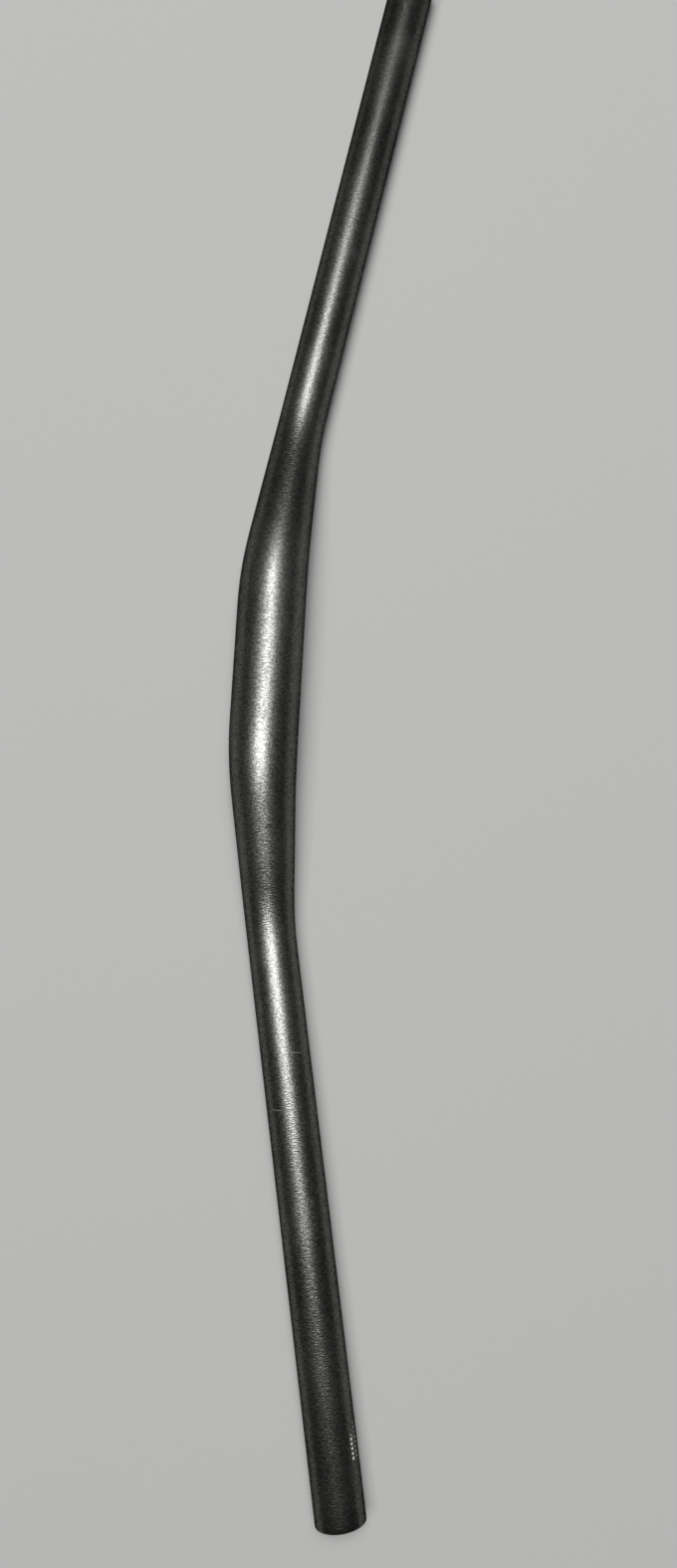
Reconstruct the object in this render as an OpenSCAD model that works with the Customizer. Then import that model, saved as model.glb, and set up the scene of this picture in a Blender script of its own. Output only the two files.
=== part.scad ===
// Mountain bike handlebar: one tube, tapered from the stem clamp to the grips and bent twice on each side.
// It lies as it comes to rest on a level surface: flat on both grips, with the middle just clear of it.
// The origin is on the tube's axis at the middle of the clamp, X runs along the clamp, and the
// ends sweep towards -Y. Lengths are in millimetres and angles in degrees.

/* [Overall] */
// Overall width from tip to tip
bar_w = 740; // [680:5:820]
// Width of the straight round middle that the stem clamps
clamp_w = 54; // [40:1:80]
// Length of tube on each side that tapers and bends
taper_len = 105; // [90:1:140]

/* [Section] */
// Outer diameter at the stem clamp
clamp_d = 31.8; // [30:0.1:35]
// Outer diameter under the grips and levers
grip_d = 22.2; // [21:0.1:24]
// Wall thickness at the stem clamp
clamp_wall = 2.4; // [1.6:0.1:3.2]
// Wall thickness at the grips
grip_wall = 2; // [1.4:0.1:2.8]
// Length of the soft start and of the soft end of each taper
taper_ease = 27; // [4:0.5:40]

/* [Bends] */
// Backsweep of the tapered stretch, when the bar is on the bike
shoulder_back = 1.5; // [0:0.1:4]
// Climb of the tapered stretch, when the bar is on the bike
shoulder_up = 9.2; // [7:0.1:11]
// Backsweep of the grips
grip_back = 9; // [6:0.5:12]
// Upsweep of the grips
grip_up = 5; // [3:0.5:7]
// Centreline radius of the bends beside the clamp
inner_bend_r = 220; // [150:5:260]
// Centreline radius of the bends beside the grips
outer_bend_r = 200; // [150:5:240]

/* [Open ends] */
// Rounding of each end's outer edge
end_round = 0.7; // [0.2:0.1:1]
// Chamfer of each end's inner edge
end_chamfer = 0.4; // [0.1:0.1:0.8]

/* [Hidden] */
$fn = 96;
anodised_black = [0.09, 0.09, 0.095];
outside_sides = 72;
inside_sides = 36;
bend_steps = 6;
straight_steps = 3;
// The round stretches stand this little above the flats of the bent ones, and feather away inside them
skin = 0.01;
feather = 0.12;
lap = 1;

// Directions of the tube on the bike, with X along the clamp, Y to the rear and Z up
clamp_dir = [1, 0, 0];
shoulder_dir = unit([1, tan(shoulder_back), tan(shoulder_up)]);
grip_dir = unit([1, tan(grip_back), tan(grip_up)]);
inner_angle = acos(clamp_dir * shoulder_dir);
outer_angle = acos(shoulder_dir * grip_dir);
inner_side = sideways(clamp_dir, shoulder_dir);
outer_side = sideways(shoulder_dir, grip_dir);

// Lengths along the tube's axis, from the clamp's edge outwards
inner_arc = arc(inner_bend_r, inner_angle);
outer_arc = arc(outer_bend_r, outer_angle);
shoulder_len = taper_len - inner_arc - outer_arc;

// Places along the axis of one half of the bar
inner_start = [clamp_w / 2, 0, 0];
inner_end = on_bend(inner_start, clamp_dir, inner_side, inner_bend_r, inner_angle);
outer_start = inner_end + shoulder_len * shoulder_dir;
outer_end = on_bend(outer_start, shoulder_dir, outer_side, outer_bend_r, outer_angle);
tip_overhang = grip_d / 2 * norm([grip_dir[1], grip_dir[2]]);
grip_len = (bar_w / 2 - tip_overhang - outer_end[0]) / grip_dir[0];
tip = outer_end + grip_len * grip_dir;

// Turn about X from the bike to rest: flat on both grips, unless that would sink the middle into the surface
grip_drop = (clamp_d - grip_d) / 2;
flat_turn = 180 - atan2(grip_dir[2], grip_dir[1]);
rest_turn = height(tip, flat_turn) < -grip_drop
    ? flat_turn
    : min(turn_to_touch(outer_end), turn_to_touch(tip));

function unit(v) = v / norm(v);
function sideways(from, to) = unit(to - (to * from) * from);
function arc(radius, angle) = radius * angle * PI / 180;
function on_bend(start, from, side, radius, angle) =
    start + radius * (sin(angle) * from + (1 - cos(angle)) * side);
function bend_dir(from, side, angle) = cos(angle) * from + sin(angle) * side;
function height(p, turn) = p[1] * sin(turn) + p[2] * cos(turn);
function turn_to_touch(p) =
    180 + asin(min(1, grip_drop / norm([p[1], p[2]]))) - atan2(p[2], p[1]);

// Share of the taper that is done at a distance from the clamp's edge: straight, with soft ends
function tapered(s) =
    s <= 0 ? 0 :
    s < taper_ease ? s * s / (2 * taper_ease * (taper_len - taper_ease)) :
    s < taper_len - taper_ease ? (s - taper_ease / 2) / (taper_len - taper_ease) :
    s < taper_len ? 1 - pow(taper_len - s, 2) / (2 * taper_ease * (taper_len - taper_ease)) : 1;
function between(a, b, share) = a + (b - a) * share;
function outside_r(s) = between(clamp_d, grip_d, tapered(s)) / 2;
function inside_r(s) = outside_r(s) - between(clamp_wall, grip_wall, tapered(s));

// Stations along the bent taper, each with its distance, place and direction
stations = [
    [-lap, inner_start - lap * clamp_dir, clamp_dir],
    for (i = [0:bend_steps])
        let (angle = inner_angle * i / bend_steps)
        [
            arc(inner_bend_r, angle),
            on_bend(inner_start, clamp_dir, inner_side, inner_bend_r, angle),
            bend_dir(clamp_dir, inner_side, angle)
        ],
    for (i = [1:straight_steps - 1])
        let (run = shoulder_len * i / straight_steps)
        [inner_arc + run, inner_end + run * shoulder_dir, shoulder_dir],
    for (i = [0:bend_steps])
        let (angle = outer_angle * i / bend_steps)
        [
            inner_arc + shoulder_len + arc(outer_bend_r, angle),
            on_bend(outer_start, shoulder_dir, outer_side, outer_bend_r, angle),
            bend_dir(shoulder_dir, outer_side, angle)
        ],
    [taper_len + lap, outer_end + lap * grip_dir, grip_dir]
];

// A circle's points about the axis: the YZ circle turned the shortest way to face along it
function ring(place, dir, radius, sides) = [
    for (i = [0:sides - 1])
        let (
            angle = 360 * i / sides,
            spoke = [0, cos(angle), sin(angle)]
        )
        place + radius * (spoke - (dir * spoke) / (1 + dir[0]) * (dir + [1, 0, 0]))
];

// The bent taper of one side, lofted through a ring at each station
module bent_taper(radii, sides) {
    last = len(stations) - 1;
    points = [
        for (i = [0:last])
            each ring(stations[i][1], stations[i][2], radii[i], sides)
    ];
    walls = [
        for (i = [0:last - 1], j = [0:sides - 1])
            let (k = (j + 1) % sides)
            [i * sides + j, (i + 1) * sides + j, (i + 1) * sides + k, i * sides + k]
    ];
    clamp_cap = [for (j = [0:sides - 1]) j];
    grip_cap = [for (j = [sides - 1:-1:0]) last * sides + j];
    polyhedron(points, concat(walls, [clamp_cap, grip_cap]));
}

// Stands its children on a place of the axis, with their Z along a direction
module facing(place, dir) {
    translate(place)
        rotate([0, acos(dir[2]), atan2(dir[1], dir[0])])
            children();
}

// Half of the round middle along Z, which feathers away inside the bend next to it
module clamp_half(radius) {
    rotate_extrude()
        polygon([
            [0, 0],
            [radius, 0],
            [radius, clamp_w / 2],
            [radius - feather, clamp_w / 2 + lap],
            [0, clamp_w / 2 + lap]
        ]);
}

// The profile of the grip's feathered start
module grip_start(radius) {
    polygon([[0, -lap], [radius - feather, -lap], [radius, 0], [0, 0]]);
}

// The outside of one straight grip, from the bend to the rounded tip
module grip_outside() {
    radius = grip_d / 2;
    facing(outer_end, grip_dir)
        rotate_extrude() {
            grip_start(radius);
            square([radius - end_round, grip_len]);
            square([radius, grip_len - end_round]);
            translate([radius - end_round, grip_len - end_round])
                circle(end_round);
        }
}

// The hollow of one straight grip, opened by a chamfer at the tip
module grip_inside() {
    radius = grip_d / 2 - grip_wall;
    facing(outer_end, grip_dir)
        rotate_extrude() {
            grip_start(radius);
            polygon([
                [0, 0],
                [radius, 0],
                [radius, grip_len - end_chamfer],
                [radius + 2 * end_chamfer, grip_len + end_chamfer],
                [0, grip_len + end_chamfer]
            ]);
        }
}

module both_sides() {
    children();
    mirror([1, 0, 0])
        children();
}

module outside() {
    both_sides() {
        facing([0, 0, 0], clamp_dir)
            clamp_half(clamp_d / 2);
        bent_taper([for (s = stations) outside_r(s[0]) - skin], outside_sides);
        grip_outside();
    }
}

module inside() {
    both_sides() {
        facing([0, 0, 0], clamp_dir)
            clamp_half(clamp_d / 2 - clamp_wall);
        bent_taper([for (s = stations) inside_r(s[0]) - skin], inside_sides);
        grip_inside();
    }
}

module handlebar() {
    color(anodised_black)
        rotate([rest_turn, 0, 0])
            difference() {
                outside();
                inside();
            }
}

handlebar();
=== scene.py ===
import math

import bpy
from mathutils import Matrix, Vector


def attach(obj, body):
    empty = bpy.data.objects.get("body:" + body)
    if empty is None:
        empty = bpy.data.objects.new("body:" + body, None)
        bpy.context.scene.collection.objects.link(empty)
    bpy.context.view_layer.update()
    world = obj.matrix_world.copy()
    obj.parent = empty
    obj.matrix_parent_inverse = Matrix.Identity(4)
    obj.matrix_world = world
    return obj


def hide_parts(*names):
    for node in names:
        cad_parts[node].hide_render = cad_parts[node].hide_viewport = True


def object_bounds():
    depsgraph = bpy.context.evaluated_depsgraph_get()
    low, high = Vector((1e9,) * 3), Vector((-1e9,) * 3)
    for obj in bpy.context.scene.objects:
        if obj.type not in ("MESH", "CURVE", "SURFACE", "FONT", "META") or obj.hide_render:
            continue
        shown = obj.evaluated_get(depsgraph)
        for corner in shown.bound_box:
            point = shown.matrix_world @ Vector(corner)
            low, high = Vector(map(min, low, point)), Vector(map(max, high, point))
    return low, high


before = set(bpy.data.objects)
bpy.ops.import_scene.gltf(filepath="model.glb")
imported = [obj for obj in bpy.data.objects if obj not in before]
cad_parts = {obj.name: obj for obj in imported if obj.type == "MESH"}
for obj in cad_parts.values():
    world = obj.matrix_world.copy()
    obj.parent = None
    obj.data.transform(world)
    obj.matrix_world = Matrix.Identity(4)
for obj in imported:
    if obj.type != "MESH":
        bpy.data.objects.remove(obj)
cad_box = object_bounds()

# The bar's sizes, as in the part's source, in metres and radians
BAR_W = 0.740
CLAMP_W = 0.054
TAPER_LEN = 0.105
CLAMP_R = 0.0318 / 2
GRIP_R = 0.0222 / 2
CLAMP_WALL = 0.0024
GRIP_WALL = 0.0020
TAPER_EASE = 0.027
SHOULDER_BACK, SHOULDER_UP = math.radians(1.5), math.radians(9.2)
GRIP_BACK, GRIP_UP = math.radians(9), math.radians(5)
INNER_BEND_R, OUTER_BEND_R = 0.220, 0.200
END_ROUND = 0.0007
END_CHAMFER = 0.0004


def direction(back, up):
    return Vector((1, math.tan(back), math.tan(up))).normalized()


CLAMP_DIR = Vector((1, 0, 0))
SHOULDER_DIR = direction(SHOULDER_BACK, SHOULDER_UP)
GRIP_DIR = direction(GRIP_BACK, GRIP_UP)
INNER_ANGLE = CLAMP_DIR.angle(SHOULDER_DIR)
OUTER_ANGLE = SHOULDER_DIR.angle(GRIP_DIR)
INNER_ARC = INNER_BEND_R * INNER_ANGLE
OUTER_ARC = OUTER_BEND_R * OUTER_ANGLE
SHOULDER_LEN = TAPER_LEN - INNER_ARC - OUTER_ARC


def on_bend(start, a, b, radius, angle):
    """The place and direction after an angle on the bend that turns from direction a towards b."""
    side = (b - b.dot(a) * a).normalized()
    place = start + radius * (math.sin(angle) * a + (1 - math.cos(angle)) * side)
    return place, math.cos(angle) * a + math.sin(angle) * side


INNER_START = Vector((CLAMP_W / 2, 0, 0))
INNER_END = on_bend(INNER_START, CLAMP_DIR, SHOULDER_DIR, INNER_BEND_R, INNER_ANGLE)[0]
OUTER_START = INNER_END + SHOULDER_LEN * SHOULDER_DIR
OUTER_END = on_bend(OUTER_START, SHOULDER_DIR, GRIP_DIR, OUTER_BEND_R, OUTER_ANGLE)[0]
OVERHANG = GRIP_R * math.hypot(GRIP_DIR.y, GRIP_DIR.z)
GRIP_LEN = (BAR_W / 2 - OVERHANG - OUTER_END.x) / GRIP_DIR.x
HALF_LEN = CLAMP_W / 2 + TAPER_LEN + GRIP_LEN


# The bar lies upside down, flat on both grips
REST = Matrix.Rotation(math.pi - math.atan2(GRIP_DIR.z, GRIP_DIR.y), 3, "X")


def on_axis(s):
    """Place and direction on the axis of the laid bar, at a signed distance from the clamp's middle."""
    d = abs(s)
    if d <= CLAMP_W / 2:
        place, along = Vector((d, 0, 0)), CLAMP_DIR.copy()
    elif d < CLAMP_W / 2 + INNER_ARC:
        turned = (d - CLAMP_W / 2) / INNER_BEND_R
        place, along = on_bend(INNER_START, CLAMP_DIR, SHOULDER_DIR, INNER_BEND_R, turned)
    elif d < CLAMP_W / 2 + TAPER_LEN - OUTER_ARC:
        place, along = INNER_END + (d - CLAMP_W / 2 - INNER_ARC) * SHOULDER_DIR, SHOULDER_DIR.copy()
    elif d < CLAMP_W / 2 + TAPER_LEN:
        turned = (d - CLAMP_W / 2 - TAPER_LEN + OUTER_ARC) / OUTER_BEND_R
        place, along = on_bend(OUTER_START, SHOULDER_DIR, GRIP_DIR, OUTER_BEND_R, turned)
    else:
        place, along = OUTER_END + (d - CLAMP_W / 2 - TAPER_LEN) * GRIP_DIR, GRIP_DIR.copy()
    place, along = REST @ place, REST @ along
    if s < 0:
        place = Vector((-place.x, place.y, place.z))
        along = Vector((along.x, -along.y, -along.z))
    return place, along


def tapered(s):
    """Share of the taper that is done at a signed distance from the clamp's middle."""
    q = abs(s) - CLAMP_W / 2
    if q <= 0:
        return 0.0
    if q < TAPER_EASE:
        return q * q / (2 * TAPER_EASE * (TAPER_LEN - TAPER_EASE))
    if q < TAPER_LEN - TAPER_EASE:
        return (q - TAPER_EASE / 2) / (TAPER_LEN - TAPER_EASE)
    if q < TAPER_LEN:
        return 1 - (TAPER_LEN - q) ** 2 / (2 * TAPER_EASE * (TAPER_LEN - TAPER_EASE))
    return 1.0


def outside_r(s):
    return CLAMP_R + (GRIP_R - CLAMP_R) * tapered(s)


def inside_r(s):
    return outside_r(s) - CLAMP_WALL - (GRIP_WALL - CLAMP_WALL) * tapered(s)


# How finely the tube's mesh is divided: round it, and along it outside, inside and over a rounded lip
AROUND = 96
OUTSIDE_STEP = 0.002
INSIDE_STEP = 0.006
LIP_STEPS = 5
SHARP_ANGLE = math.radians(35)


def spread(a, b, step):
    """Even distances from a to b, both included."""
    n = max(1, round(abs(b - a) / step))
    return [a + (b - a) * i / n for i in range(n + 1)]


def profile():
    """(distance along the axis, radius) pairs that run once round the wall's section, outside and inside."""
    end = HALF_LEN - END_ROUND
    edge = [i * math.pi / 2 / LIP_STEPS for i in range(LIP_STEPS + 1)]
    outside = [(s, outside_r(s)) for s in spread(-end, end, OUTSIDE_STEP)]
    lip = [(end + END_ROUND * math.sin(a), GRIP_R - END_ROUND + END_ROUND * math.cos(a)) for a in edge]
    chamfer = HALF_LEN - END_CHAMFER
    inside = [(s, inside_r(s)) for s in spread(chamfer, -chamfer, INSIDE_STEP)]
    right = lip[1:] + [(HALF_LEN, GRIP_R - GRIP_WALL + END_CHAMFER)]
    left = [(-s, r) for s, r in reversed(right)]
    return outside + right + inside + left


def tube_mesh():
    """The tube as one closed mesh, with a UV map of turns round from the underside and metres along."""
    rings = profile()
    verts, faces, uvs = [], [], []
    for s, r in rings:
        place, along = on_axis(s)
        for j in range(AROUND):
            a = 2 * math.pi * j / AROUND
            spoke = Vector((0, math.sin(a), -math.cos(a)))
            spoke -= along.dot(spoke) / (1 + along.x) * (along + Vector((1, 0, 0)))
            verts.append(place + r * spoke)
    n = len(rings)
    for i in range(n):
        k = (i + 1) % n
        for j in range(AROUND):
            m = (j + 1) % AROUND
            faces.append((i * AROUND + j, k * AROUND + j, k * AROUND + m, i * AROUND + m))
            u0, u1 = j / AROUND, (j + 1) / AROUND
            v0, v1 = rings[i][0], rings[k][0]
            uvs += [(u0, v0), (u0, v1), (u1, v1), (u1, v0)]
    mesh = bpy.data.meshes.new("tube")
    mesh.from_pydata(verts, [], faces)
    layer = mesh.uv_layers.new(name="tube_uv")
    for loop, uv in zip(layer.data, uvs):
        loop.uv = uv
    mesh.shade_smooth()
    mesh.set_sharp_from_angle(angle=SHARP_ANGLE)
    mesh.validate()
    return mesh


class Nodes:
    """Short forms for building a node tree."""

    def __init__(self, name):
        self.material = bpy.data.materials.new(name)
        self.material.use_nodes = True
        self.tree = self.material.node_tree
        self.shader = self.tree.nodes["Principled BSDF"]

    def add(self, kind, inputs=None, **settings):
        node = self.tree.nodes.new(kind)
        for key, value in settings.items():
            setattr(node, key, value)
        for key, value in (inputs or {}).items():
            self.put(node.inputs[key], value)
        return node

    def put(self, socket, value):
        if isinstance(value, bpy.types.NodeSocket):
            self.tree.links.new(value, socket)
        else:
            socket.default_value = value

    def math(self, operation, a, b=0.0):
        return self.add("ShaderNodeMath", {0: a, 1: b}, operation=operation).outputs[0]

    def ramp(self, value, low, high, to_low=0.0, to_high=1.0):
        """A smooth step of value between low and high."""
        node = self.add(
            "ShaderNodeMapRange",
            {"Value": value, "From Min": low, "From Max": high, "To Min": to_low, "To Max": to_high},
            interpolation_type="SMOOTHSTEP",
        )
        return node.outputs[0]

    def noise(self, vector, scale, detail=2.0, roughness=0.5):
        return self.add(
            "ShaderNodeTexNoise",
            {"Vector": vector, "Scale": scale, "Detail": detail, "Roughness": roughness},
        ).outputs["Fac"]

    def colour_mix(self, share, a, b):
        node = self.add("ShaderNodeMix", data_type="RGBA")
        self.put(node.inputs[0], share)
        self.put(node.inputs[6], a)
        self.put(node.inputs[7], b)
        return node.outputs[2]


# The marks that the photograph shows, at metres along the bar and turns round it from the underside
SCRATCHES = (
    (-0.1187, 0.460, 0.510),
    (-0.1360, 0.430, 0.462),
    (-0.1373, 0.525, 0.548),
    (-0.1768, 0.543, 0.620),
    (-0.2002, 0.365, 0.450),
)
SCRATCH_SLANT = -0.010
SCRATCH_WIDTH = 0.00022
NICKS = (
    (0.1326, 0.567),
    (0.1166, 0.675),
    (0.1160, 0.712),
    (-0.1914, 0.661),
    (-0.2499, 0.385),
    (-0.2469, 0.354),
    (-0.2399, 0.564),
)
NICK_R = 0.00045
SMUDGES = ((0.2106, 0.596, 0.004), (0.2236, 0.646, 0.005), (0.3250, 0.610, 0.012))

# Two rows of plain ticks near one end: first and last place, turn, width in turns, strength
TICK_ROWS = ((-0.3467, -0.3365, 0.647, 0.014, 1.0), (-0.3467, -0.3325, 0.686, 0.010, 0.5))
TICK_PITCH = 0.0019
TICK_SHARE = 0.44

# The shares of the grain that come from the blasted pits and from the fine lines round the tube
BLAST_SHARE, STREAK_SHARE = 0.45, 0.55

# Reflectance of the metal where the grain is dark and where it is bright, and of the marks on it
DARK_METAL = (0.075, 0.075, 0.071, 1)
BRIGHT_METAL = (0.22, 0.219, 0.211, 1)
SMUDGED = (0.22, 0.22, 0.22, 1)
SCRATCHED = (0.55, 0.55, 0.54, 1)
PAINTED = (0.75, 0.75, 0.74, 1)


class Finish(Nodes):
    """Nodes that know where on the bar they are."""

    def __init__(self, name):
        super().__init__(name)
        self.where = self.add("ShaderNodeTexCoord").outputs["Object"]
        place = self.add("ShaderNodeSeparateXYZ", {0: self.where})
        self.y, self.z = place.outputs["Y"], place.outputs["Z"]
        uv = self.add("ShaderNodeUVMap", uv_map="tube_uv").outputs[0]
        run = self.add("ShaderNodeSeparateXYZ", {0: uv})
        self.turn, self.along = run.outputs["X"], run.outputs["Y"]

    def around(self, along_scale, around_scale, detail):
        """Noise that is stretched around the bar."""
        x = self.math("MULTIPLY", self.along, along_scale)
        y = self.math("MULTIPLY", self.y, around_scale)
        z = self.math("MULTIPLY", self.z, around_scale)
        vector = self.add("ShaderNodeCombineXYZ", {0: x, 1: y, 2: z}).outputs[0]
        return self.noise(vector, 1.0, detail, 0.6)

    def off(self, value, centre):
        return self.math("ABSOLUTE", self.math("SUBTRACT", value, centre))

    def near(self, value, centre, reach, soft):
        """1 within reach of the centre, falling to 0 over the soft distance."""
        return self.ramp(self.off(value, centre), reach, reach + soft, 1.0, 0.0)

    def spot(self, along, turn, radius):
        girth = 2 * math.pi * outside_r(along)
        a = self.math("SUBTRACT", self.along, along)
        t = self.math("MULTIPLY", self.math("SUBTRACT", self.turn, turn), girth)
        far = self.math("SQRT", self.math("ADD", self.math("MULTIPLY", a, a), self.math("MULTIPLY", t, t)))
        return self.ramp(far, 0.3 * radius, radius, 1.0, 0.0)

    def scratch(self, along, first, last):
        middle, reach = (first + last) / 2, (last - first) / 2
        lean = self.math("MULTIPLY", self.math("SUBTRACT", self.turn, middle), SCRATCH_SLANT)
        line = self.near(self.math("SUBTRACT", self.along, lean), along, 0.3 * SCRATCH_WIDTH, SCRATCH_WIDTH)
        return self.math("MULTIPLY", line, self.near(self.turn, middle, 0.6 * reach, 0.4 * reach))

    def ticks(self, first, last, turn, width, strength):
        beat = self.math("FRACT", self.math("DIVIDE", self.math("SUBTRACT", self.along, first), TICK_PITCH))
        bar = self.near(beat, 0.5, TICK_SHARE / 2, 0.06)
        row = self.near(self.along, (first + last) / 2, (last - first) / 2, 0.00005)
        band = self.near(self.turn, turn, width / 2, 0.002)
        return self.math("MULTIPLY", self.math("MULTIPLY", bar, row), self.math("MULTIPLY", band, strength))

    def most(self, masks):
        total = masks[0]
        for mask in masks[1:]:
            total = self.math("MAXIMUM", total, mask)
        return total


def anodised():
    """Black anodised metal: one grain in its tone and its relief, and the marks on top."""
    n = Finish("black_anodised")
    blast = n.noise(n.where, 1600, 1.0, 0.5)
    streak = n.around(1700, 550, 1.0)
    cloud = n.noise(n.where, 28, 3.0, 0.5)
    scuff = n.most([n.scratch(*s) for s in SCRATCHES] + [n.spot(*nick, NICK_R) for nick in NICKS])
    smudge = n.most([n.spot(*s) for s in SMUDGES])
    paint = n.most([n.ticks(*row) for row in TICK_ROWS])

    grain = n.math("ADD", n.math("MULTIPLY", blast, BLAST_SHARE), n.math("MULTIPLY", streak, STREAK_SHARE))
    tone = n.math("ADD", n.ramp(grain, 0.36, 0.64, 0.0, 0.85), n.ramp(cloud, 0.3, 0.7, 0.0, 0.15))
    shine = n.colour_mix(tone, DARK_METAL, BRIGHT_METAL)
    shine = n.colour_mix(n.math("MULTIPLY", smudge, 0.2), shine, SMUDGED)
    shine = n.colour_mix(n.math("MULTIPLY", scuff, 0.5), shine, SCRATCHED)
    shine = n.colour_mix(paint, shine, PAINTED)
    n.put(n.shader.inputs["Base Color"], shine)
    covered = n.most([paint, n.math("MULTIPLY", scuff, 0.3)])
    n.put(n.shader.inputs["Metallic"], n.math("SUBTRACT", 1.0, covered))

    rough = n.ramp(cloud, 0.25, 0.75, 0.29, 0.33)
    rough = n.math("ADD", rough, n.math("MULTIPLY", smudge, 0.04))
    rough = n.math("ADD", rough, n.math("MULTIPLY", paint, 0.25))
    n.put(n.shader.inputs["Roughness"], rough)

    relief = n.math("SUBTRACT", grain, n.math("MULTIPLY", scuff, 0.35))
    bump = n.add("ShaderNodeBump", {"Height": relief, "Strength": 1.0, "Distance": 0.0001})
    n.put(n.shader.inputs["Normal"], bump.outputs["Normal"])
    tangent = n.add("ShaderNodeTangent", direction_type="UV_MAP", uv_map="tube_uv")
    n.put(n.shader.inputs["Tangent"], tangent.outputs["Tangent"])
    n.shader.inputs["Anisotropic"].default_value = 0.6
    n.shader.inputs["Specular Tint"].default_value = (0.1, 0.1, 0.1, 1)
    return n.material


def plain(name, colour, roughness):
    """One matt colour all over."""
    n = Nodes(name)
    n.shader.inputs["Base Color"].default_value = colour
    n.shader.inputs["Roughness"].default_value = roughness
    n.shader.inputs["Specular IOR Level"].default_value = 0.2
    return n.material


tube = bpy.data.objects.new("tube", tube_mesh())
bpy.context.scene.collection.objects.link(tube)
tube.data.materials.append(anodised())
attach(tube, "root")
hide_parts("handlebar")


# The floor reaches this far from the bar each way, at the height of the bar's lowest point
FLOOR_REACH = 6.0
low = cad_box[0][2]
corners = [(FLOOR_REACH * x, FLOOR_REACH * y, low) for x, y in ((-1, -1), (1, -1), (1, 1), (-1, 1))]
floor_mesh = bpy.data.meshes.new("floor")
floor_mesh.from_pydata(corners, [], [(0, 1, 2, 3)])
floor = bpy.data.objects.new("floor", floor_mesh)
bpy.context.scene.collection.objects.link(floor)
floor.data.materials.append(plain("floor", (0.42, 0.42, 0.415, 1), 0.9))

# A dim world, so that the bar stays dark between its bright bands
world = bpy.data.worlds.new("studio")
world.use_nodes = True
world.node_tree.nodes["Background"].inputs["Color"].default_value = (0.03, 0.03, 0.03, 1)
bpy.context.scene.world = world


def lamp(name, place, size, power):
    """A rectangular soft box that faces straight down."""
    light = bpy.data.lights.new(name, "AREA")
    light.shape = "RECTANGLE"
    light.size, light.size_y = size
    light.energy = power
    box = bpy.data.objects.new(name, light)
    box.location = place
    bpy.context.scene.collection.objects.link(box)


# Three soft boxes high above the bar
lamp("key", (0.03, 0.50, 4.0), (1.55, 2.4), 120)
lamp("small_key", (1.85, 0.25, 4.1), (0.7, 1.4), 56)
lamp("side_key", (1.65, -0.35, 4.2), (3.1, 1.6), 60)

# The photograph's camera, fitted to the tube's edges: turned from straight down about the vertical and back
EYE = Vector((-0.1321, -0.0395, 0.5295))
YAW, TILT = math.radians(2.985), math.radians(8.413)
LENS = 1183 / 1575 * 36

picture_up = Vector((math.cos(YAW), math.sin(YAW), 0))
right = Vector((math.sin(YAW), -math.cos(YAW), 0))
up = math.cos(TILT) * picture_up + math.sin(TILT) * Vector((0, 0, 1))
back = right.cross(up)

camera_data = bpy.data.cameras.new("camera")
camera_data.sensor_width = 36
camera_data.lens = LENS
camera = bpy.data.objects.new("camera", camera_data)
camera.matrix_world = Matrix.Translation(EYE) @ Matrix((right, up, back)).transposed().to_4x4()
bpy.context.scene.collection.objects.link(camera)
bpy.context.scene.camera = camera

bpy.context.scene.view_settings.view_transform = "Standard"

bpy.context.view_layer.update()
